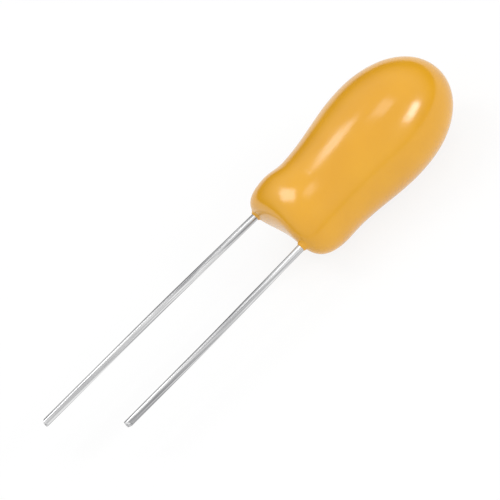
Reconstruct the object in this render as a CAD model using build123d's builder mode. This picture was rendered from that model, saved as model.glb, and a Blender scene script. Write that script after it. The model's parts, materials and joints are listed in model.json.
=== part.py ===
"""Radial tantalum capacitor with a dipped resin coat, lying on its back with its leads in the air.

Every piece is drawn in the capacitor's own frame, in millimetres: +Z runs along the body from the
leads to the crown, the positive lead is on the +X side, +Y is the front, and Z = 0 is where the
leads leave the coat. At the end the pieces are laid down together, as they come to rest on a table.
"""

import math
import os

from build123d import *

# Leads: round tinned wire, cut to two lengths so that the longer one marks the positive side.
wire_diameter = 0.5
lead_pitch = 5.08
exit_spacing = 4.75
positive_length = 18.2
negative_length = 15.1
pitch_level = 8.0  # the leads stand at their pitch from this far below the coat to their tips
entry_depth = 1.6  # they run on into the coat this far before their inner bends
pitch_bend_radius = 120.0
tip_outer_slope = 50  # degrees off square by which the side cutters left each face of the tip
tip_inner_slope = 38
tip_ridge_offset = 0.06  # the faces meet this far from the wire's axis, towards the other lead

# Anode: a pressed and sintered pellet on a riser wire.
pellet_radius = 2.1
pellet_length = 5.6
pellet_corner = 0.5
pellet_level = 6.2  # the pellet's lower face
riser_diameter = 0.4
riser_depth = 4.0  # how deep the riser wire is sunk in the pellet
riser_end_level = 3.3  # the riser wire's free end

# Washer round the riser wire, which keeps the coats away from it.
washer_radius = 0.75
washer_thickness = 0.3

# Cathode: coats over the pellet, the outer two dipped less deep than the first.
dioxide_thickness = 0.1
graphite_thickness = 0.05
silver_thickness = 0.08
graphite_rim = 0.8  # from the pellet's lower face up to the rim of the graphite
silver_rim = 1.1

# Joints between the leads and the pellet.
weld_bend_level = 2.9  # the positive lead turns up beside the riser wire here
weld_bend_radius = 0.7
riser_overlap = 1.6  # how far the positive lead runs beside the riser wire
weld_gap = 0.03
weld_start = 0.5  # from the riser wire's free end up to the weld
weld_length = 0.8
weld_half_width = 0.28
side_bend_level = 5.0  # the negative lead turns to run beside the pellet here
side_bend_radius = 6.0
solder_gap = 0.04
solder_start = 0.6  # from the silver's rim up to the solder's lower end
solder_length = 2.6
solder_half_width = 0.7
solder_half_depth = 0.4
lead_past_solder = 0.3

# Resin coat: a bulb over the pellet, a waist and hips below it, slightly flattened front to back.
lead_cover = 0.9  # resin outside the negative lead at the bulb
waist_cover = 0.59  # resin outside the leads at the waist
hip_flare = 0.2  # how much further out the hips are than the waist
crown_cover = 2.3  # resin over the end of the pellet
bulb_level = 8.95  # the widest level
waist_level = 3.45
hip_level = 1.25  # the sides are straight from here down
flattening = 0.9  # depth from front to back as a share of the width
crown_fullness = 2.1  # 2 is an ellipse, and more is squarer
ovals_per_swell = 3  # set between two turning levels of the side
crown_rise = (0.25, 0.45, 0.65, 0.8, 0.9, 0.96, 0.99)  # ovals from the widest level to the top
coat_lean = 3.0  # degrees by which the coat leans off the line of the leads
coat_setback = 0.57  # how far behind the leads the coat's axis starts

# Underside of the coat: a saddle between the leads, and a foot of resin drawn down each lead.
arch_level = 0.5  # the underside midway between the leads
arch_radius = 11.0  # along the row of leads
saddle_radius = 4.6  # from front to back
saddle_forward = 0.2  # how far before the leads the saddle is lowest
hip_round = 1.5
foot_lip = 0.05
foot_lean = 0.05
foot_waist_level = 0.25  # the foot is still slender here
foot_waist_spread = 0.12
foot_top_level = 0.75  # and has spread into the underside here
foot_top_spread = 0.9

# Sizes that follow from those above.
wire_radius = wire_diameter / 2
riser_radius = riser_diameter / 2
graphite_growth = dioxide_thickness + graphite_thickness
silver_growth = graphite_growth + silver_thickness
silver_radius = pellet_radius + silver_growth
weld_x = riser_radius + weld_gap + wire_radius
run_x = silver_radius + solder_gap + wire_radius
solder_level = pellet_level + silver_rim + solder_start
coat_top = pellet_level + pellet_length + silver_growth + crown_cover
bulb_half_width = run_x + wire_radius + lead_cover
waist_half_width = exit_spacing / 2 + wire_radius + waist_cover
hip_half_width = waist_half_width + hip_flare
entry_x = exit_spacing / 2 - entry_depth * (lead_pitch - exit_spacing) / 2 / pitch_level


def lead(side, points, radii):
    """Round wire along runs and bends in the plane of the two leads, on the positive (1) or the
    negative (-1) side. Side cutters left a blunt wedge at its tip."""
    with BuildPart() as wire:
        with BuildLine(Plane.XZ) as route:
            FilletPolyline(*points, radius=radii)
        with BuildSketch(Plane(origin=route.line @ 0, z_dir=route.line % 0)):
            Circle(wire_radius)
        sweep(path=route.line)
        tip = route.line @ 0
        ridge_x = tip.X - side * tip_ridge_offset
        outer_rise = wire_diameter * math.tan(math.radians(tip_outer_slope))
        inner_rise = wire_diameter * math.tan(math.radians(tip_inner_slope))
        with BuildSketch(Plane.XZ):
            with BuildLine():
                Polyline(
                    (ridge_x, tip.Z),
                    (ridge_x + side * wire_diameter, tip.Z + outer_rise),
                    (ridge_x + side * wire_diameter, tip.Z - wire_diameter),
                    (ridge_x - side * wire_diameter, tip.Z - wire_diameter),
                    (ridge_x - side * wire_diameter, tip.Z + inner_rise),
                    close=True,
                )
            make_face()
        extrude(amount=wire_diameter, both=True, mode=Mode.SUBTRACT)
    return wire


def pellet_section(growth):
    """Half of the pellet's lengthwise section, grown all round by the coats that lie on it."""
    with BuildSketch() as section:
        with Locations((0, pellet_level - growth)):
            Rectangle(pellet_radius + growth, pellet_length + 2 * growth, align=Align.MIN)
        fillet(section.vertices().group_by(Axis.X)[-1], pellet_corner + growth)
    return section.sketch


def dipped_coat(inner_growth, outer_growth, rim):
    """Cup of even thickness over the pellet's end, open towards the leads from its rim down."""
    with BuildPart() as cup:
        with BuildSketch(Plane.XZ):
            add(pellet_section(outer_growth))
            add(pellet_section(inner_growth), mode=Mode.SUBTRACT)
            with Locations((0, pellet_level + rim)):
                below_rim = (Align.MIN, Align.MAX)
                Rectangle(silver_radius, pellet_length, align=below_rim, mode=Mode.SUBTRACT)
        revolve(axis=Axis.Z)
    return cup


# Riser wire.
with BuildPart() as riser_wire:
    with BuildSketch(Plane.XY.offset(riser_end_level)):
        Circle(riser_radius)
    extrude(amount=pellet_level + riser_depth - riser_end_level)

# Pellet, pressed round the riser wire.
with BuildPart() as tantalum_pellet:
    with BuildSketch(Plane.XZ):
        add(pellet_section(0))
    revolve(axis=Axis.Z)
    add(riser_wire.part, mode=Mode.SUBTRACT)

# Washer.
with BuildPart() as insulating_washer:
    with BuildSketch(Plane.XY.offset(pellet_level)):
        Circle(washer_radius)
        Circle(riser_radius, mode=Mode.SUBTRACT)
    extrude(amount=-washer_thickness)

# Manganese dioxide, all over the pellet but for the washer's seat.
with BuildPart() as manganese_dioxide_coat:
    with BuildSketch(Plane.XZ):
        add(pellet_section(dioxide_thickness))
        add(pellet_section(0), mode=Mode.SUBTRACT)
    revolve(axis=Axis.Z)
    with BuildSketch(Plane.XY.offset(pellet_level)):
        Circle(washer_radius)
    extrude(amount=-dioxide_thickness, mode=Mode.SUBTRACT)

graphite_coat = dipped_coat(dioxide_thickness, graphite_growth, graphite_rim)
silver_coat = dipped_coat(graphite_growth, silver_growth, silver_rim)

# Leads.
positive_lead = lead(
    1,
    [
        (lead_pitch / 2, -positive_length),
        (lead_pitch / 2, -pitch_level),
        (entry_x, entry_depth),
        (weld_x, weld_bend_level),
        (weld_x, riser_end_level + riser_overlap),
    ],
    [pitch_bend_radius, weld_bend_radius, weld_bend_radius],
)
negative_lead = lead(
    -1,
    [
        (-lead_pitch / 2, -negative_length),
        (-lead_pitch / 2, -pitch_level),
        (-entry_x, entry_depth),
        (-run_x, side_bend_level),
        (-run_x, solder_level + solder_length + lead_past_solder),
    ],
    [pitch_bend_radius, side_bend_radius, side_bend_radius],
)

# Weld between the positive lead and the riser wire.
with BuildPart() as weld_bead:
    with BuildSketch(Plane.XY.offset(riser_end_level + weld_start)):
        with Locations((riser_radius + weld_gap / 2, 0)):
            Ellipse(riser_radius, weld_half_width)
    extrude(amount=weld_length)
    add(riser_wire.part, mode=Mode.SUBTRACT)
    add(positive_lead.part, mode=Mode.SUBTRACT)

# Solder between the negative lead and the silver coat.
with BuildPart() as solder_joint:
    with BuildSketch(Plane.XY.offset(solder_level)):
        with Locations((-silver_radius, 0)):
            Ellipse(solder_half_depth, solder_half_width)
        Circle(silver_radius, mode=Mode.SUBTRACT)
    extrude(amount=solder_length)
    add(negative_lead.part, mode=Mode.SUBTRACT)


def swell(level, start_level, start, end_level, end):
    """Half a cosine wave from one half-width to another, straight before and after it."""
    climb = min(max((level - start_level) / (end_level - start_level), 0), 1)
    return start + (end - start) * (1 - math.cos(math.pi * climb)) / 2


def coat_half_width(level):
    """Half-width of the coat at a level: it draws in from the hips to the waist, swells to the
    widest level, and follows a superellipse from there to the top."""
    if level < waist_level:
        return swell(level, hip_level, hip_half_width, waist_level, waist_half_width)
    if level < bulb_level:
        return swell(level, waist_level, waist_half_width, bulb_level, bulb_half_width)
    rise = (level - bulb_level) / (coat_top - bulb_level)
    return bulb_half_width * (1 - rise**crown_fullness) ** (1 / crown_fullness)


def lead_foot(side):
    """Resin drawn down a lead: ovals that spread towards the other lead and to front and back."""
    tip = wire_radius + foot_lip
    with BuildPart() as foot:
        for level, outward, spread in (
            (0, 0, 0),
            (foot_waist_level, foot_lean, foot_waist_spread),
            (foot_top_level, foot_lean, foot_top_spread),
        ):
            lead_x = exit_spacing / 2 - level * (lead_pitch - exit_spacing) / 2 / pitch_level
            with BuildSketch(Plane.XY.offset(level)):
                with Locations((side * (lead_x + (outward - spread) / 2), 0)):
                    Ellipse(tip + (outward + spread) / 2, tip + spread)
        loft()
    return foot


# Plain form of the coat, before its underside is shaped.
coat_base = Plane(origin=(0, -coat_setback, 0)).rotated((-coat_lean, 0, 0))
coat_levels = [-hip_level, 0]
for start, end in ((hip_level, waist_level), (waist_level, bulb_level)):
    step = (end - start) / ovals_per_swell
    coat_levels += [start + oval * step for oval in range(ovals_per_swell)]
coat_levels += [bulb_level + rise * (coat_top - bulb_level) for rise in (0, *crown_rise)]

with BuildPart() as coat_form:
    for level in coat_levels:
        with BuildSketch(coat_base.offset(level)):
            Ellipse(coat_half_width(level), flattening * coat_half_width(level))
    loft([*coat_form.pending_faces, Vertex(coat_base.offset(coat_top).origin)])

inner_pieces = [tantalum_pellet, riser_wire, insulating_washer, manganese_dioxide_coat]
inner_pieces += [graphite_coat, silver_coat, positive_lead, negative_lead, weld_bead, solder_joint]

with BuildPart() as resin_coat:
    add(coat_form.part)
    # The saddle: all that lies below an arch along the leads, turned about a line over the arch.
    saddle_axis = Axis((0, saddle_forward, arch_level + saddle_radius), (1, 0, 0))
    reach = 2 * hip_half_width
    sag = arch_radius - math.sqrt(arch_radius**2 - reach**2)
    arch_end = saddle_radius + sag
    clear_depth = arch_end + hip_level + saddle_radius  # well below the coat's lowest oval
    with BuildSketch(Plane(saddle_axis.position)):
        with BuildLine():
            arch = ThreePointArc((-reach, arch_end), (0, saddle_radius), (reach, arch_end))
            Polyline(arch @ 1, (reach, clear_depth), (-reach, clear_depth), arch @ 0)
        make_face()
    revolve(axis=saddle_axis, revolution_arc=-180, mode=Mode.SUBTRACT)
    hips = resin_coat.edges().filter_by(lambda edge: edge.bounding_box().max.Z < waist_level)
    fillet(hips, hip_round)
    for side in (-1, 1):
        add(lead_foot(side).part)
    for piece in inner_pieces:
        add(piece.part, mode=Mode.SUBTRACT)

pieces = {
    "resin_coat": resin_coat,
    "tantalum_pellet": tantalum_pellet,
    "riser_wire": riser_wire,
    "insulating_washer": insulating_washer,
    "manganese_dioxide_coat": manganese_dioxide_coat,
    "graphite_coat": graphite_coat,
    "silver_coat": silver_coat,
    "positive_lead": positive_lead,
    "negative_lead": negative_lead,
    "weld_bead": weld_bead,
    "solder_joint": solder_joint,
}


# The capacitor is heaviest at its pellet, so it comes to rest on the flatter back of its coat,
# touching at the hips and at the bulb, and both leads stay clear of the table.
search_steps = 200  # points tried along each edge of the coat's profile
halvings = 30
pitch_limit = 20  # degrees either way

profile_edges = section(resin_coat.part, section_by=Plane.YZ).edges()
steps = [step / search_steps for step in range(search_steps + 1)]
profile_points = [edge @ step for edge in profile_edges for step in steps]
middle_level = (waist_level + bulb_level) / 2
hip_points = [point for point in profile_points if point.Z < middle_level]
bulb_points = [point for point in profile_points if point.Z >= middle_level]


def lowest(points, up):
    """Height of the lowest of some points, for a given up direction."""
    return min(up.dot(point) for point in points)


def up_direction(pitch):
    """The table's up direction when the crown is raised by a pitch in degrees."""
    return Vector(0, math.cos(math.radians(pitch)), math.sin(math.radians(pitch)))


def resting_pitch():
    """Pitch at which the hips and the bulb are equally low, found by halving."""
    low, high = -pitch_limit, pitch_limit
    for _ in range(halvings):
        middle = (low + high) / 2
        if lowest(hip_points, up_direction(middle)) > lowest(bulb_points, up_direction(middle)):
            low = middle
        else:
            high = middle
    return middle


up = up_direction(resting_pitch())
touch_height = lowest(profile_points, up)
table = Plane(origin=up * touch_height, x_dir=Vector(0, 0, 1) - up * up.Z, z_dir=up)
on_table = table.location.inverse()
laid_box = Compound([piece.part.moved(on_table) for piece in pieces.values()]).bounding_box()
centring = Location((-laid_box.center().X, -laid_box.center().Y, 0))

os.makedirs("parts", exist_ok=True)
for name, piece in pieces.items():
    piece.part = piece.part.moved(centring * on_table)
    piece.part.label = name
    export_step(piece.part, f"parts/{name}.step")
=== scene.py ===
"""Looks of the dipped tantalum capacitor: resin coat, wire leads, the layers inside, and its stage."""

import json
import math

import bpy
import numpy as np
from bpy.props import FloatProperty, FloatVectorProperty, IntProperty, PointerProperty
from mathutils import Matrix, Vector


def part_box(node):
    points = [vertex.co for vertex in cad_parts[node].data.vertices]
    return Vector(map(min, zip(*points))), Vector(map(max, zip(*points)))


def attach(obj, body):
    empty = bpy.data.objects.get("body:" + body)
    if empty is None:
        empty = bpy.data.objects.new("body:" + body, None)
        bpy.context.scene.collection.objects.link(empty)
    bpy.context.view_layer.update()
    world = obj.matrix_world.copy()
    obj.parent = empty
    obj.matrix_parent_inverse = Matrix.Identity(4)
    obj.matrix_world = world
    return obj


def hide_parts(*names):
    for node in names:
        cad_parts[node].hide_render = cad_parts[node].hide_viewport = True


bl_info = {
    "name": "Dipped Tantalum Capacitor",
    "version": (1, 0, 0),
    "blender": (4, 5, 0),
    "location": "3D View > Sidebar > Capacitor",
    "description": "Builds a dipped tantalum capacitor's resin coat, finishes and stage",
    "category": "Object",
}

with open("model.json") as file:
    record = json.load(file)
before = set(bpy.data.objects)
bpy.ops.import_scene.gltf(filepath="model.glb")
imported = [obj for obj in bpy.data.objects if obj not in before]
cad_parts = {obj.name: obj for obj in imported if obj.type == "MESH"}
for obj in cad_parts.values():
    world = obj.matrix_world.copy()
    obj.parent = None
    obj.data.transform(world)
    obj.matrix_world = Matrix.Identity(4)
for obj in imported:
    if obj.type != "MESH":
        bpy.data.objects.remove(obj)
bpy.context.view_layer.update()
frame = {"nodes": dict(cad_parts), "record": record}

MM = 0.001
PINS = {mount["name"]: mount for mount in frame["record"]["mounts"]}
PELLET_CENTRE_LEVEL = 9.0 * MM  # from the lead exits to the middle of the pellet
WHITE = (1, 1, 1, 1)

# How finely the forms are cut up.
RAY_HALVINGS = 26
CROWDING_STEPS = 4096
FOOT_CROWDING = 5  # added weight of the coat's rings at the feet
FOOT_BAND = 0.05  # share of the way from pole to pole over which it fades
ROW_CROWDING = 3  # added weight of a ring's points towards the row of leads
ROW_BAND = 0.3  # sine of the turn off that row at which it fades
BEND_POINTS = 17
FACE_RINGS = (*np.linspace(0.05, 0.95, 10), 0.98, 1.0)  # shares of the wire's radius
WALL_RINGS = (0.012, 0.03, 0.25, 0.5, 0.75, 1.0)  # shares of the run that turns square

# Slow waves of the coat: radians per millimetre crownward, across and forward, and the phase.
WAVES = (
    (0.9, 0.7, 0.0, 0.4),
    (0.6, 1.3, -0.5, 2.1),
    (0.8, 0.0, 1.1, 4.0),
)

# Noise scales are counts to the metre. Most of a noise's values lie between these two.
CLOUD_SCALE = 220.0
PEEL_SCALE = 900.0
NOISE_LOW = 0.35
NOISE_HIGH = 0.65

# The Mix node has its own sockets for each kind of value. These are the ones for colours.
MIX_COLOUR_A = 6
MIX_COLOUR_B = 7
MIX_COLOUR_RESULT = 2

LAMPS = ("key", "side", "top")
NEAR_CLIP_SHARE = 0.1  # of the camera's distance
FAR_CLIP = 10.0


def unit(vector):
    """The vector at a length of one."""
    return vector / np.linalg.norm(vector)


# The capacitor's own directions: crownward along the body, across from the negative lead to the
# positive one, and forward out of the plane of the leads. Its origin is midway between the exits.
CROWNWARD = unit(-np.array(PINS["positive_pin"]["axis"]))
ROW = np.array(PINS["positive_pin"]["pos_m"]) - np.array(PINS["negative_pin"]["pos_m"])
ACROSS = unit(ROW - CROWNWARD * (ROW @ CROWNWARD))
FORWARD = np.cross(CROWNWARD, ACROSS)
PELLET_CENTRE = np.mean(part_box("tantalum_pellet"), axis=0)
ORIGIN = PELLET_CENTRE - CROWNWARD * PELLET_CENTRE_LEVEL


# ---------------------------------------------------------------- sizes and colours


def length(name, description, default, low=0.0):
    """A size in metres."""
    return FloatProperty(
        name=name, description=description, default=default, min=low, unit="LENGTH", precision=5
    )


def share(name, description, default):
    """A part of a whole, from 0 to 1."""
    return FloatProperty(
        name=name, description=description, default=default, min=0.0, max=1.0, precision=3
    )


def colour(name, description, default):
    """A colour as its red, green and blue shares of light."""
    return FloatVectorProperty(
        name=name, description=description, default=default, size=3, min=0, max=1, subtype="COLOR"
    )


def number(name, description, default):
    """A plain number that isn't negative."""
    return FloatProperty(name=name, description=description, default=default, min=0.0)


def facing(name, description, default):
    """A direction in the shared frame, of any length."""
    return FloatVectorProperty(
        name=name, description=description, default=default, size=3, subtype="DIRECTION"
    )


def angle(name, description, degrees):
    """An angle, given here in degrees and kept in radians."""
    return FloatProperty(
        name=name, description=description, default=math.radians(degrees), subtype="ANGLE"
    )


class CoatSizes(bpy.types.PropertyGroup):
    """Sizes of the resin coat, in the capacitor's own frame."""

    bulb_half_width: length("Bulb half-width", "Half-width at the widest level", 3.80 * MM)
    waist_half_width: length("Waist half-width", "Half-width at the waist", 3.24 * MM)
    hip_flare: length("Hip flare", "How much further out the hips are", 0.25 * MM)
    bulb_level: length("Bulb level", "Widest level above the lead exits", 8.95 * MM)
    waist_level: length("Waist level", "Narrowest level above the lead exits", 3.45 * MM)
    hip_level: length("Hip level", "Level from which the hips draw in", 1.98 * MM)
    top: length("Top", "Crown's height above the lead exits", 14.33 * MM)
    fullness: FloatProperty(
        name="Crown fullness", description="2 is an ellipse, more is squarer", default=2.1, min=2
    )
    flattening: share("Flattening", "Depth as a share of the width", 0.9)
    lean: angle("Lean", "Lean of the coat off the line of the leads", 3.0)
    sway: angle("Sway", "Sideways lean of the coat towards the positive lead", 0.3)
    setback: length("Setback", "Axis of the coat behind the leads", 0.57 * MM)
    arch_level: length("Arch level", "Underside midway between the leads", 0.2 * MM)
    arch_radius: length("Arch radius", "Underside's radius along the leads' row", 17.4 * MM)
    arch_tilt: angle("Arch tilt", "How far the underside is lower on the positive side", 0.93)
    saddle_radius: length("Saddle radius", "Underside's radius in front of its low line", 3.2 * MM)
    saddle_back_radius: length("Saddle back radius", "The same behind that line", 5.0 * MM)
    saddle_forward: length("Saddle forward", "Underside's low line before the leads", 0.63 * MM)
    hip_blend: length("Hip blend", "Width over which side and underside blend", 1.61 * MM)
    foot_radius: length("Foot radius", "Resin round a lead at its exit", 0.25 * MM)
    foot_blend: length("Foot blend", "Width over which a foot spreads", 0.28 * MM)
    lip_blend: length("Lip blend", "Rounding of a foot's end", 0.08 * MM)
    unevenness: length("Unevenness", "Height of the slow waves of a dipped surface", 0.02 * MM)
    rows: IntProperty(name="Rows", description="Rings from pole to pole", default=190, min=32)
    columns: IntProperty(name="Columns", description="Points round a ring", default=300, min=48)


class WireSizes(bpy.types.PropertyGroup):
    """Sizes of the two leads, in the capacitor's own frame."""

    exit_spacing: length("Exit spacing", "Between the leads where they leave the coat", 4.75 * MM)
    pitch: length("Pitch", "Between the leads at their tips", 5.08 * MM)
    pitch_level: length("Pitch level", "Depth below the exits where the pitch is reached", 8.0 * MM)
    pitch_bend: length("Pitch bend", "Radius of the bend at that depth", 120.0 * MM)
    positive_length: length("Positive lead", "From the exit to the tip", 18.2 * MM)
    negative_length: length("Negative lead", "From the exit to the tip", 15.1 * MM)
    entry_depth: length("Entry depth", "Straight run inside the coat", 1.6 * MM)
    weld_offset: length("Weld offset", "Positive lead's end from the body's axis", 0.48 * MM)
    weld_bend: length("Weld bend", "Radius of the positive lead's inner bends", 0.7 * MM)
    weld_bend_level: length("Weld bend level", "Where it turns beside the riser wire", 2.9 * MM)
    weld_end: length("Weld end", "Where the positive lead ends", 4.9 * MM)
    side_offset: length("Side offset", "Negative lead's end from the body's axis", 2.62 * MM)
    side_bend: length("Side bend", "Radius of the negative lead's inner bends", 6.0 * MM)
    side_bend_level: length("Side bend level", "Where it turns beside the pellet", 5.0 * MM)
    side_end: length("Side end", "Where the negative lead ends", 10.8 * MM)
    outer_cut: angle("Outer cut", "Slope of the tip's outer face off square", 50)
    inner_cut: angle("Inner cut", "Slope of the tip's inner face off square", 38)
    ridge_offset: length("Ridge offset", "Tip's ridge from the wire's axis", 0.06 * MM)
    cut_run: length("Cut run", "Length over which the rings turn square", 0.6 * MM)
    columns: IntProperty(name="Columns", description="Points round the wire", default=56, min=16)


class ResinFinish(bpy.types.PropertyGroup):
    """Colours and gloss of the amber resin."""

    tint: colour("Resin", "Main colour of the resin", (0.71, 0.345, 0.006))
    deep: colour("Deep resin", "Colour where the pigment is densest", (0.655, 0.308, 0.005))
    roughness: share("Roughness", "Roughness of the dipped surface", 0.19)
    peel: share("Orange peel", "Strength of the fine waves in the gloss", 0.05)
    refraction: number("Refraction", "Refractive index, which sets the strength of the gloss", 1.62)


class WireFinish(bpy.types.PropertyGroup):
    """Colours and gloss of the tinned leads."""

    bright: colour("Bright tin", "Colour of the tin", (0.90, 0.90, 0.90))
    dull: colour("Dull tin", "Colour along the drawing lines", (0.28, 0.28, 0.29))
    roughness: share("Roughness", "Roughness of the tin", 0.16)


class StageSettings(bpy.types.PropertyGroup):
    """Camera, lamps, floor and room."""

    azimuth: angle("Azimuth", "Camera's turn about the upright", -15.18)
    elevation: angle("Elevation", "Camera's height above the floor's plane", 42.78)
    roll: angle("Roll", "Camera's turn about its own line of sight", 33.40)
    lens: FloatProperty(name="Lens", description="Focal length in millimetres", default=200.0)
    view_width: length("View width", "Width that the camera takes in", 30.5 * MM)
    aim_right: length("Aim right", "Image centre from the lead exits", -1.702 * MM, low=-1.0)
    aim_up: length("Aim up", "Image centre from the lead exits", -1.10 * MM, low=-1.0)
    floor_colour: colour("Floor", "Floor's colour", (0.85, 0.85, 0.85))
    floor_half: length("Floor half-width", "From the middle of the floor to its sides", 3.0)
    floor_glow: share("Floor glow", "Share of plain white in the floor as the camera sees it", 0.85)
    sky: number("Sky", "Strength of the room's light", 0.95)
    sky_axis: facing("Sky axis", "Direction the room brightens towards", (-0.12, -0.22, 0.96))
    sky_low: share("Low sky", "Brightness square to that direction and behind it", 0.12)
    full_height: share("Full height", "Share along that direction where the sky is full", 0.45)
    key_direction: facing("Key direction", "Towards the lamp", (0.522, -0.689, 0.503))
    key_distance: length("Key distance", "From the pellet", 0.15)
    key_width: length("Key width", "First side of the lamp", 0.055)
    key_height: length("Key height", "Second side of the lamp", 0.034)
    key_turn: angle("Key turn", "Turn of the lamp about its own direction", 0)
    key_radiance: number("Key radiance", "Brightness of the lamp's face", 10)
    side_direction: facing("Side direction", "Towards the lamp", (-0.25, 0.41, 0.877))
    side_distance: length("Side distance", "From the pellet", 0.2)
    side_width: length("Side width", "First side of the lamp", 0.06)
    side_height: length("Side height", "Second side of the lamp", 0.11)
    side_turn: angle("Side turn", "Turn of the lamp about its own direction", 0)
    side_radiance: number("Side radiance", "Brightness of the lamp's face", 4.4)
    top_direction: facing("Top direction", "Towards the lamp", (0.24, -0.13, 0.962))
    top_distance: length("Top distance", "From the pellet", 0.2)
    top_width: length("Top width", "First side of the lamp", 0.055)
    top_height: length("Top height", "Second side of the lamp", 0.065)
    top_turn: angle("Top turn", "Turn of the lamp about its own direction", -43)
    top_radiance: number("Top radiance", "Brightness of the lamp's face", 2.0)


# ---------------------------------------------------------------- mesh helpers


def to_world(across, forward, crownward):
    """Points in the capacitor's own frame, as an N x 3 array of points in the shared frame."""
    return (
        ORIGIN
        + np.multiply.outer(np.ravel(across), ACROSS)
        + np.multiply.outer(np.ravel(forward), FORWARD)
        + np.multiply.outer(np.ravel(crownward), CROWNWARD)
    )


def crowded(count, weight):
    """Values from 0 to 1 that stand closer where the weight is larger: the weight is summed up
    along the way and the sum is cut into equal steps."""
    even = np.linspace(0.0, 1.0, CROWDING_STEPS + 1)
    middles = (even[1:] + even[:-1]) / 2
    filled = np.concatenate([[0.0], np.cumsum(weight(middles))])
    return np.interp(np.linspace(0.0, filled[-1], count), filled, even)


def smooth_max(a, b, width):
    """The larger of two values, with a parabola over the stretch where they differ by less than
    the width: max(a, b) + (width - |a - b|)^2 / (4 width)."""
    return np.maximum(a, b) + np.maximum(width - np.abs(a - b), 0.0) ** 2 / (4 * width)


def smooth_min(a, b, width):
    """The smaller of two values, softened in the same way."""
    return -smooth_max(-a, -b, width)


def closed_surface(name, rings, low_pole, high_pole):
    """Mesh of closed rings, each with the same number of points, with a point at either end."""
    ring_count, around = rings.shape[:2]
    points = np.vstack([rings.reshape(-1, 3), low_pole, high_pole])
    ids = np.arange(ring_count * around).reshape(ring_count, around)
    after = np.roll(ids, -1, axis=1)
    quads = np.stack([ids[:-1], after[:-1], after[1:], ids[1:]], axis=-1).reshape(-1, 4)
    low = ring_count * around
    high = low + 1
    low_fan = np.stack([np.full(around, low), after[0], ids[0]], axis=-1)
    high_fan = np.stack([np.full(around, high), ids[-1], after[-1]], axis=-1)
    corners = np.concatenate([quads.ravel(), low_fan.ravel(), high_fan.ravel()])
    sizes = np.concatenate([np.full(len(quads), 4), np.full(2 * around, 3)])
    mesh = bpy.data.meshes.new(name)
    mesh.vertices.add(len(points))
    mesh.vertices.foreach_set("co", points.ravel())
    mesh.loops.add(len(corners))
    mesh.loops.foreach_set("vertex_index", corners.astype(np.int32))
    mesh.polygons.add(len(sizes))
    starts = np.concatenate([[0], np.cumsum(sizes)[:-1]])
    mesh.polygons.foreach_set("loop_start", starts.astype(np.int32))
    mesh.polygons.foreach_set("use_smooth", np.ones(len(sizes), dtype=bool))
    mesh.update(calc_edges=True)
    mesh.validate()
    piece = bpy.data.objects.new(name, mesh)
    bpy.context.scene.collection.objects.link(piece)
    return piece


# ---------------------------------------------------------------- the coat's form


def coat_side(sizes, across, forward, crownward):
    """How far a point is outside the coat's side: negative within. A section is an ellipse about
    an axis that leans. Its half-width draws in from the hips to the waist, more on the positive
    side, and swells from there to the bulb, each along half a cosine wave. Above the bulb's
    widest level the share of the width and the share of the height lie on a superellipse."""
    sine, cosine = math.sin(sizes.lean), math.cos(sizes.lean)
    depth = (forward + sizes.setback) * cosine - crownward * sine
    level = (forward + sizes.setback) * sine + crownward * cosine
    aside = across - crownward * math.tan(sizes.sway)
    climb = np.clip((level - sizes.waist_level) / (sizes.bulb_level - sizes.waist_level), 0, 1)
    dip = np.clip((sizes.waist_level - level) / (sizes.waist_level - sizes.hip_level), 0, 1)
    bulge = (sizes.bulb_half_width - sizes.waist_half_width) * (1 - np.cos(np.pi * climb)) / 2
    off_axis = np.hypot(aside, depth / sizes.flattening)
    positive_side = (1 + aside / np.maximum(off_axis, MM)) / 2
    flare = sizes.hip_flare * positive_side * (1 - np.cos(np.pi * dip)) / 2
    width_share = off_axis / (sizes.waist_half_width + bulge + flare)
    height_share = np.maximum(level - sizes.bulb_level, 0) / (sizes.top - sizes.bulb_level)
    power = sizes.fullness
    reach = (width_share**power + height_share**power) ** (1 / power)
    return sizes.bulb_half_width * (reach - 1)


def coat_underside(sizes, across, forward, crownward):
    """How far a point is below the coat's underside: a saddle, which is an arch along the row of
    leads turned about a line over it, and which lets go of the points above that line. The line
    is higher behind the saddle's lowest line than before it, so the saddle is flatter there."""
    level = crownward + across * math.tan(sizes.arch_tilt)
    ahead = forward - sizes.saddle_forward
    radius = np.where(ahead > 0, sizes.saddle_radius, sizes.saddle_back_radius)
    rise = level - sizes.arch_level - radius
    sag = sizes.arch_radius - np.sqrt(np.maximum(sizes.arch_radius**2 - across**2, 0))
    out = np.hypot(ahead, np.minimum(rise, 0))
    return out - radius - sag - np.maximum(rise, 0)


def coat_feet(sizes, wire, across, forward, crownward):
    """How far a point is outside the two feet: a round of resin about each lead that ends level
    with the lead exits and runs up inside the coat, halfway to the waist."""
    spread = (wire.pitch - wire.exit_spacing) / 2 / wire.pitch_level
    lead = wire.exit_spacing / 2 - crownward * spread
    off_lead = np.hypot(np.abs(across) - lead, forward)
    foot = smooth_max(off_lead - sizes.foot_radius, -crownward, sizes.lip_blend)
    return np.maximum(foot, crownward - sizes.waist_level / 2)


def coat_waves(sizes, across, forward, crownward):
    """Slow waves left in the resin as it set: the mean of three sines that run different ways."""
    total = 0.0
    for per_crownward, per_across, per_forward, phase in WAVES:
        way = per_crownward * crownward + per_across * across + per_forward * forward
        total = total + np.sin(way / MM + phase)
    return sizes.unevenness / len(WAVES) * total


def coat_field(sizes, wire, across, forward, crownward):
    """How far a point is outside the coat: side and underside meet in a soft edge, and the feet
    run into them like liquid drawn down the leads."""
    side = coat_side(sizes, across, forward, crownward)
    under = coat_underside(sizes, across, forward, crownward)
    body = smooth_max(side, under, sizes.hip_blend)
    feet = coat_feet(sizes, wire, across, forward, crownward)
    waves = coat_waves(sizes, across, forward, crownward)
    return smooth_min(body, feet, sizes.foot_blend) + waves


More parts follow.
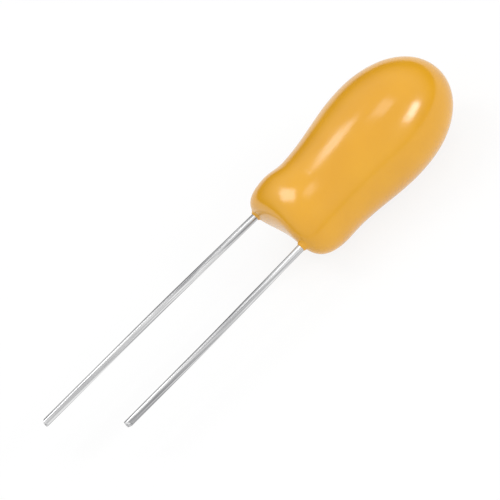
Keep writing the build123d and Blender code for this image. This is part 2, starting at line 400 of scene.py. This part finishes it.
def coat_points(sizes, wire, centre_level, slope, turn):
    """Where rays from a point on the body's axis leave the coat: each ray is halved until the
    point on it at which the field changes sign is known to a nanometre."""
    ray = (np.sin(slope) * np.cos(turn), np.sin(slope) * np.sin(turn), -np.cos(slope))
    near = np.zeros(slope.shape)
    far = np.full(slope.shape, 2 * sizes.top)
    for _ in range(RAY_HALVINGS):
        middle = (near + far) / 2
        field = coat_field(
            sizes, wire, ray[0] * middle, ray[1] * middle, centre_level + ray[2] * middle
        )
        near = np.where(field < 0, middle, near)
        far = np.where(field < 0, far, middle)
    return to_world(ray[0] * near, ray[1] * near, centre_level + ray[2] * near)


# ---------------------------------------------------------------- the leads' form


def bent_path(corners, bends):
    """Points along straight runs with rounded corners, and the direction at each. A corner's arc
    bulges towards the corner by the cosine of its angle times the radius, and runs on by the sine."""
    corners = np.array(corners)
    points = [corners[:1]]
    ways = [unit(corners[1] - corners[0])[None]]
    for before, corner, after, radius in zip(corners, corners[1:], corners[2:], bends):
        back, onward = unit(before - corner), unit(after - corner)
        inward, along = unit(back + onward), unit(onward - back)
        half_turn = (np.pi - np.arccos(back @ onward)) / 2
        centre = corner + inward * radius / np.cos(half_turn)
        swing = np.linspace(-half_turn, half_turn, BEND_POINTS)[:, None]
        points.append(centre + radius * (along * np.sin(swing) - inward * np.cos(swing)))
        ways.append(along * np.cos(swing) + inward * np.sin(swing))
    points.append(corners[-1:])
    ways.append(unit(corners[-1] - corners[-2])[None])
    return np.concatenate(points), np.concatenate(ways)


def lead_surface(name, wire, side, corners, bends):
    """Wire whose rings stand square on its path. At the tip, two slopes meet in a ridge: each point
    is set back by its distance from the ridge times the slope, and the wall's rings turn square
    over a short run."""
    radius = PINS["positive_pin"]["dims"]["r_mm"] * MM
    path, ways = bent_path(corners, bends)
    turn = np.linspace(0, 2 * np.pi, wire.columns, endpoint=False)
    sideways = np.cos(turn)
    outward = np.sin(turn)

    def tip_rings(size, run):
        """Rings of the cut face and of the wall behind it, each as a share of the wire's radius
        and a run up the wire."""
        reach = radius * size[:, None] * sideways
        past = side * reach + wire.ridge_offset
        outer_rise = np.tan(wire.outer_cut) * np.maximum(past, 0)
        inner_rise = np.tan(wire.inner_cut) * np.maximum(-past, 0)
        left_over = 1 - run[:, None] / wire.cut_run
        level = path[0, 1] + (outer_rise + inner_rise) * left_over + run[:, None]
        return np.stack([path[0, 0] + reach, radius * size[:, None] * outward, level], axis=-1)

    face = np.array(FACE_RINGS)
    wall = wire.cut_run * np.array(WALL_RINGS)
    face_rings = tip_rings(face, np.zeros_like(face))
    wall_rings = tip_rings(np.ones_like(wall), wall)
    across = path[1:, 0, None] + ways[1:, 1, None] * radius * sideways
    level = path[1:, 1, None] - ways[1:, 0, None] * radius * sideways
    forward = np.broadcast_to(radius * outward, across.shape)
    path_rings = np.stack([across, forward, level], axis=-1)
    rings = np.concatenate([face_rings, wall_rings, path_rings])
    tip = tip_rings(np.zeros(1), np.zeros(1))[0, 0]
    end = np.array([path[-1, 0], 0, path[-1, 1]])
    placed = to_world(*rings.reshape(-1, 3).T).reshape(rings.shape)
    return closed_surface(name, placed, to_world(*tip), to_world(*end))


# ---------------------------------------------------------------- materials


def node(tree, kind, place):
    """Adds a shader node at a place in the node editor."""
    made = tree.nodes.new(kind)
    made.location = place
    return made


def new_material(name):
    """A new material, with its node tree and its shader."""
    material = bpy.data.materials.new(name)
    material.use_nodes = True
    tree = material.node_tree
    return material, tree, tree.nodes["Principled BSDF"]


def scaled_place(tree, scale):
    """Object coordinates, stretched by a Mapping node."""
    place = node(tree, "ShaderNodeTexCoord", (-1200, 0))
    mapping = node(tree, "ShaderNodeMapping", (-1000, 0))
    mapping.inputs["Scale"].default_value = scale
    tree.links.new(place.outputs["Object"], mapping.inputs["Vector"])
    return mapping.outputs["Vector"]


def noise(tree, vector, place, scale, detail, roughness):
    """Noise over a vector: its values keep mostly to the middle between 0 and 1."""
    made = node(tree, "ShaderNodeTexNoise", place)
    made.inputs["Scale"].default_value = scale
    made.inputs["Detail"].default_value = detail
    made.inputs["Roughness"].default_value = roughness
    tree.links.new(vector, made.inputs["Vector"])
    return made.outputs["Fac"]


def spread_out(tree, value, place, low, high):
    """A noise's values, spread evenly from one value to another and held there beyond."""
    made = node(tree, "ShaderNodeMapRange", place)
    made.inputs["From Min"].default_value = NOISE_LOW
    made.inputs["From Max"].default_value = NOISE_HIGH
    made.inputs["To Min"].default_value = low
    made.inputs["To Max"].default_value = high
    tree.links.new(value, made.inputs["Value"])
    return made.outputs["Result"]


def two_tones(tree, value, place, dark, light):
    """A colour between two, dark where the noise is low and light where it is high."""
    factor = spread_out(tree, value, place, 0, 1)
    made = node(tree, "ShaderNodeMix", (place[0] + 200, place[1]))
    made.data_type = "RGBA"
    made.inputs[MIX_COLOUR_A].default_value = (*dark, 1)
    made.inputs[MIX_COLOUR_B].default_value = (*light, 1)
    tree.links.new(factor, made.inputs[0])
    return made.outputs[MIX_COLOUR_RESULT]


def bumps(tree, height, place, strength, distance):
    """A surface direction tilted as if the height stood out by the distance."""
    made = node(tree, "ShaderNodeBump", place)
    made.inputs["Strength"].default_value = strength
    made.inputs["Distance"].default_value = distance
    tree.links.new(height, made.inputs["Height"])
    return made.outputs["Normal"]


def resin_material(finish):
    """Glossy amber resin: slow clouds of denser pigment, and a fine peel in height and gloss."""
    material, tree, shader = new_material("amber_resin")
    vector = scaled_place(tree, (1, 1, 1))
    clouds = noise(tree, vector, (-800, 200), CLOUD_SCALE, detail=2.0, roughness=0.5)
    peel = noise(tree, vector, (-800, -200), PEEL_SCALE, detail=2.0, roughness=0.5)
    tone = two_tones(tree, clouds, (-600, 200), finish.deep, finish.tint)
    tree.links.new(tone, shader.inputs["Base Color"])
    rough = spread_out(tree, peel, (-600, 0), finish.roughness * 0.85, finish.roughness * 1.15)
    tree.links.new(rough, shader.inputs["Roughness"])
    relief = bumps(tree, peel, (-300, -300), finish.peel, distance=0.02 * MM)
    tree.links.new(relief, shader.inputs["Normal"])
    shader.inputs["IOR"].default_value = finish.refraction
    return material


def metal_material(name, dark, light, roughness, grain, stretch=(1, 1, 1), bump=0.1):
    """Metal with two tones and a grain, which a stretch draws out into lines. The light tone is
    the smoother one."""
    material, tree, shader = new_material(name)
    vector = scaled_place(tree, stretch)
    fine = noise(tree, vector, (-800, 0), grain, detail=3.0, roughness=0.6)
    tone = two_tones(tree, fine, (-600, 200), dark, light)
    tree.links.new(tone, shader.inputs["Base Color"])
    rough = spread_out(tree, fine, (-600, 0), roughness * 1.3, roughness * 0.8)
    tree.links.new(rough, shader.inputs["Roughness"])
    relief = bumps(tree, fine, (-300, -300), bump, distance=0.01 * MM)
    tree.links.new(relief, shader.inputs["Normal"])
    shader.inputs["Metallic"].default_value = 1.0
    return material


def matt_material(name, dark, light, roughness, grain):
    """Surface with the same grain in its colour, gloss and height that isn't metal."""
    material = metal_material(name, dark, light, roughness, grain, bump=0.3)
    material.node_tree.nodes["Principled BSDF"].inputs["Metallic"].default_value = 0.0
    return material


def dress(node_name, material):
    """Gives a CAD node its finish."""
    for slot in frame["nodes"][node_name].material_slots:
        slot.material = material


# ---------------------------------------------------------------- operators


class CAPACITOR_OT_resin_coat(bpy.types.Operator):
    """Build the dipped resin coat with its saddle-shaped underside and a foot round each lead"""

    bl_idname = "capacitor.resin_coat"
    bl_label = "Resin Coat"

    def execute(self, context):
        sizes = context.scene.capacitor_coat
        wire = context.scene.capacitor_leads
        centre_level = sizes.waist_level
        foot_slope = math.atan2(wire.exit_spacing / 2, centre_level) / math.pi

        def near_feet(half_turns):
            """Weight of the rings, larger at the slope that leads to the feet."""
            off_foot = (half_turns - foot_slope) / FOOT_BAND
            return 1 + FOOT_CROWDING * np.exp(-(off_foot**2))

        def near_row(whole_turns):
            """Weight of a ring's points, larger towards the row of leads."""
            off_row = np.sin(2 * math.pi * whole_turns) / ROW_BAND
            return 1 + ROW_CROWDING * np.exp(-(off_row**2))

        slopes = math.pi * crowded(sizes.rows + 2, near_feet)
        turns = 2 * math.pi * crowded(sizes.columns + 1, near_row)
        slope, turn = np.meshgrid(slopes[1:-1], turns[:-1], indexing="ij")
        rings = coat_points(sizes, wire, centre_level, slope, turn).reshape(*slope.shape, 3)
        poles = coat_points(sizes, wire, centre_level, slopes[[0, -1]], np.zeros(2))
        coat = closed_surface("amber_coat", rings, poles[0], poles[1])
        coat.data.materials.append(resin_material(context.scene.capacitor_resin))
        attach(coat, "root")
        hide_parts("resin_coat")
        return {"FINISHED"}


class CAPACITOR_OT_leads(bpy.types.Operator):
    """Build the two tinned wire leads with their cut tips and their bends inside the coat"""

    bl_idname = "capacitor.leads"
    bl_label = "Leads"

    def execute(self, context):
        wire = context.scene.capacitor_leads
        finish = context.scene.capacitor_wire
        tin = metal_material(
            "tinned_wire",
            dark=finish.dull,
            light=finish.bright,
            roughness=finish.roughness,
            grain=6400.0,
            stretch=(0.01, 1, 1),
            bump=0.1,
        )
        beside_riser = (wire.weld_offset, wire.weld_bend_level, wire.weld_end)
        beside_pellet = (wire.side_offset, wire.side_bend_level, wire.side_end)
        leads = (
            ("positive", 1, wire.positive_length, beside_riser, wire.weld_bend),
            ("negative", -1, wire.negative_length, beside_pellet, wire.side_bend),
        )
        for pole, side, reach, inner_end, bend in leads:
            node_name = f"{pole}_lead"
            corners = self.path_corners(wire, side, reach, inner_end)
            bends = (wire.pitch_bend, bend, bend)
            lead = lead_surface(f"{pole}_wire", wire, side, corners, bends)
            lead.data.materials.append(tin)
            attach(lead, "root")
            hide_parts(node_name)
        return {"FINISHED"}

    def path_corners(self, wire, side, reach, inner_end):
        """Corners of a lead's path from its tip up, as places across and levels: it runs straight
        to the pitch's depth, slants in through the exit, and turns beside an inner part."""
        offset, bend_level, end_level = inner_end
        slant = wire.entry_depth * (wire.pitch - wire.exit_spacing) / wire.pitch_level
        entry_spacing = wire.exit_spacing - slant
        return [
            (side * wire.pitch / 2, -reach),
            (side * wire.pitch / 2, -wire.pitch_level),
            (side * entry_spacing / 2, wire.entry_depth),
            (side * offset, bend_level),
            (side * offset, end_level),
        ]


class CAPACITOR_OT_anode(bpy.types.Operator):
    """Finish the sintered pellet, its riser wire, the washer and the weld"""

    bl_idname = "capacitor.anode"
    bl_label = "Anode"

    def execute(self, context):
        sintered = metal_material(
            "sintered_tantalum",
            dark=(0.10, 0.10, 0.11),
            light=(0.24, 0.24, 0.26),
            roughness=0.6,
            grain=12000.0,
            bump=0.8,
        )
        drawn = metal_material(
            "tantalum_wire",
            dark=(0.30, 0.30, 0.33),
            light=(0.45, 0.45, 0.48),
            roughness=0.3,
            grain=6000.0,
            stretch=(0.05, 1, 1),
            bump=0.3,
        )
        polymer = matt_material(
            "white_polymer",
            dark=(0.80, 0.80, 0.78),
            light=(0.88, 0.88, 0.86),
            roughness=0.45,
            grain=3000.0,
        )
        dress("tantalum_pellet", sintered)
        dress("riser_wire", drawn)
        dress("weld_bead", drawn)
        dress("insulating_washer", polymer)
        return {"FINISHED"}


class CAPACITOR_OT_cathode(bpy.types.Operator):
    """Finish the manganese dioxide, graphite and silver coats and the solder joint"""

    bl_idname = "capacitor.cathode"
    bl_label = "Cathode"

    def execute(self, context):
        dioxide = matt_material(
            "manganese_dioxide",
            dark=(0.035, 0.03, 0.028),
            light=(0.08, 0.07, 0.065),
            roughness=0.75,
            grain=9000.0,
        )
        graphite = matt_material(
            "graphite",
            dark=(0.04, 0.04, 0.045),
            light=(0.085, 0.085, 0.09),
            roughness=0.5,
            grain=5000.0,
        )
        silver = metal_material(
            "silver_paint",
            dark=(0.55, 0.55, 0.54),
            light=(0.72, 0.72, 0.71),
            roughness=0.45,
            grain=7000.0,
            stretch=(0.3, 1, 1),
            bump=0.5,
        )
        solder = metal_material(
            "solder",
            dark=(0.5, 0.5, 0.52),
            light=(0.66, 0.66, 0.68),
            roughness=0.25,
            grain=1500.0,
            bump=0.4,
        )
        dress("manganese_dioxide_coat", dioxide)
        dress("graphite_coat", graphite)
        dress("silver_coat", silver)
        dress("solder_joint", solder)
        return {"FINISHED"}


def maths(tree, operation, place, first, second):
    """Adds a node that works out the sum or product of two sockets' values."""
    made = node(tree, "ShaderNodeMath", place)
    made.operation = operation
    tree.links.new(first, made.inputs[0])
    tree.links.new(second, made.inputs[1])
    return made


def floor_material(settings):
    """Pale matt floor. The camera, glossy and transmission rays see it lifted towards white, and
    it still darkens where the capacitor shades it."""
    material = bpy.data.materials.new("floor")
    material.use_nodes = True
    tree = material.node_tree
    tree.nodes.clear()
    matt = node(tree, "ShaderNodeBsdfDiffuse", (-200, 0))
    matt.inputs["Color"].default_value = (*settings.floor_colour, 1)
    path = node(tree, "ShaderNodeLightPath", (-1000, 300))
    share_of_white = node(tree, "ShaderNodeValue", (-600, 500))
    share_of_white.outputs[0].default_value = settings.floor_glow
    camera_ray = path.outputs["Is Camera Ray"]
    glossy_ray = path.outputs["Is Glossy Ray"]
    transmission_ray = path.outputs["Is Transmission Ray"]
    direct = maths(tree, "ADD", (-800, 300), camera_ray, glossy_ray)
    seen = maths(tree, "ADD", (-600, 300), direct.outputs[0], transmission_ray)
    seen.use_clamp = True
    lift = maths(tree, "MULTIPLY", (-400, 400), seen.outputs[0], share_of_white.outputs[0])
    glow = node(tree, "ShaderNodeEmission", (-200, 200))
    glow.inputs["Color"].default_value = WHITE
    tree.links.new(seen.outputs[0], glow.inputs["Strength"])
    mixed = node(tree, "ShaderNodeMixShader", (0, 100))
    tree.links.new(lift.outputs[0], mixed.inputs[0])
    tree.links.new(matt.outputs[0], mixed.inputs[1])
    tree.links.new(glow.outputs[0], mixed.inputs[2])
    out = node(tree, "ShaderNodeOutputMaterial", (200, 100))
    tree.links.new(mixed.outputs[0], out.inputs["Surface"])
    return material


def panel_light(settings, kind):
    """Area lamp that faces the capacitor from a direction, as bright as its radiance says."""
    width = getattr(settings, f"{kind}_width")
    height = getattr(settings, f"{kind}_height")
    lamp = bpy.data.lights.new(f"{kind}_lamp", "AREA")
    lamp.shape = "RECTANGLE"
    lamp.size, lamp.size_y = width, height
    lamp.energy = getattr(settings, f"{kind}_radiance") * math.pi * width * height
    stand = bpy.data.objects.new(f"{kind}_lamp", lamp)
    toward = Vector(getattr(settings, f"{kind}_direction")).normalized()
    roll = Matrix.Rotation(getattr(settings, f"{kind}_turn"), 4, "Z")
    place = Vector(PELLET_CENTRE) + toward * getattr(settings, f"{kind}_distance")
    stand.matrix_world = (
        Matrix.Translation(place) @ toward.to_track_quat("Z", "Y").to_matrix().to_4x4() @ roll
    )
    bpy.context.scene.collection.objects.link(stand)


class CAPACITOR_OT_stage(bpy.types.Operator):
    """Set up the floor, the room's light, the lamps and the camera"""

    bl_idname = "capacitor.stage"
    bl_label = "Stage"

    def execute(self, context):
        settings = context.scene.capacitor_stage
        self.lay_floor(settings)
        self.light_room(settings)
        for lamp in LAMPS:
            panel_light(settings, lamp)
        self.set_camera(settings)
        return {"FINISHED"}

    def lay_floor(self, settings):
        """A level square under the capacitor."""
        half = settings.floor_half
        mesh = bpy.data.meshes.new("floor")
        corners = [(-half, -half, 0), (half, -half, 0), (half, half, 0), (-half, half, 0)]
        mesh.from_pydata(corners, [], [(0, 1, 2, 3)])
        floor = bpy.data.objects.new("floor", mesh)
        bpy.context.scene.collection.objects.link(floor)
        mesh.materials.append(floor_material(settings))

    def light_room(self, settings):
        """A soft room that brightens towards the sky axis. The share of a direction that points
        along that axis sets its brightness: the low sky at none or less, and full light from
        the full height on."""
        world = bpy.data.worlds.new("room")
        bpy.context.scene.world = world
        world.use_nodes = True
        tree = world.node_tree
        background = tree.nodes["Background"]
        low = settings.sky_low
        place = node(tree, "ShaderNodeTexCoord", (-900, 0))
        height = node(tree, "ShaderNodeVectorMath", (-700, 0))
        height.operation = "DOT_PRODUCT"
        height.inputs[1].default_value = Vector(settings.sky_axis).normalized()
        tree.links.new(place.outputs["Generated"], height.inputs[0])
        ramp = node(tree, "ShaderNodeValToRGB", (-500, 0))
        stops = ramp.color_ramp.elements
        stops[0].color = (low, low, low, 1)
        stops[1].position = settings.full_height
        stops[1].color = WHITE
        tree.links.new(height.outputs["Value"], ramp.inputs[0])
        tree.links.new(ramp.outputs[0], background.inputs["Color"])
        background.inputs["Strength"].default_value = settings.sky

    def set_camera(self, settings):
        """A camera that looks from an azimuth and an elevation, rolled about its line of sight."""
        azimuth, elevation, roll = settings.azimuth, settings.elevation, settings.roll
        toward = Vector(
            (
                math.sin(azimuth) * math.cos(elevation),
                -math.cos(azimuth) * math.cos(elevation),
                math.sin(elevation),
            )
        )
        level_right = Vector((math.cos(azimuth), math.sin(azimuth), 0))
        level_up = toward.cross(level_right)
        right = level_right * math.cos(roll) - level_up * math.sin(roll)
        up = level_right * math.sin(roll) + level_up * math.cos(roll)
        camera = bpy.data.cameras.new("camera")
        camera.lens = settings.lens
        distance = settings.view_width * camera.lens / camera.sensor_width
        camera.clip_start = distance * NEAR_CLIP_SHARE
        camera.clip_end = FAR_CLIP
        aim = Vector(ORIGIN) + right * settings.aim_right + up * settings.aim_up
        stand = bpy.data.objects.new("camera", camera)
        turn = Matrix((right, up, toward)).transposed().to_4x4()
        stand.matrix_world = Matrix.Translation(aim + toward * distance) @ turn
        bpy.context.scene.collection.objects.link(stand)
        bpy.context.scene.camera = stand
        bpy.context.scene.view_settings.view_transform = "Standard"


class CAPACITOR_PT_panel(bpy.types.Panel):
    """Lists the capacitor's pieces and their settings"""

    bl_idname = "CAPACITOR_PT_panel"
    bl_label = "Tantalum Capacitor"
    bl_space_type = "VIEW_3D"
    bl_region_type = "UI"
    bl_category = "Capacitor"

    def draw(self, context):
        for operator in OPERATORS:
            self.layout.operator(operator.bl_idname)
        for group in SETTINGS:
            box = self.layout.box()
            values = getattr(context.scene, group)
            for name in values.bl_rna.properties.keys():
                if name not in ("rna_type", "name"):
                    box.prop(values, name)


OPERATORS = (
    CAPACITOR_OT_resin_coat,
    CAPACITOR_OT_leads,
    CAPACITOR_OT_anode,
    CAPACITOR_OT_cathode,
    CAPACITOR_OT_stage,
)
SETTINGS = {
    "capacitor_coat": CoatSizes,
    "capacitor_leads": WireSizes,
    "capacitor_resin": ResinFinish,
    "capacitor_wire": WireFinish,
    "capacitor_stage": StageSettings,
}


def register():
    """Adds the classes and the capacitor's settings."""
    for cls in (*SETTINGS.values(), *OPERATORS, CAPACITOR_PT_panel):
        bpy.utils.register_class(cls)
    for name, group in SETTINGS.items():
        setattr(bpy.types.Scene, name, PointerProperty(type=group))


def unregister():
    """Takes them away again."""
    for name in SETTINGS:
        delattr(bpy.types.Scene, name)
    for cls in (CAPACITOR_PT_panel, *reversed(OPERATORS), *SETTINGS.values()):
        bpy.utils.unregister_class(cls)


def main():
    """Builds everything."""
    register()
    bpy.ops.capacitor.resin_coat()
    bpy.ops.capacitor.leads()
    bpy.ops.capacitor.anode()
    bpy.ops.capacitor.cathode()
    bpy.ops.capacitor.stage()


if __name__ == "__main__":
    main()
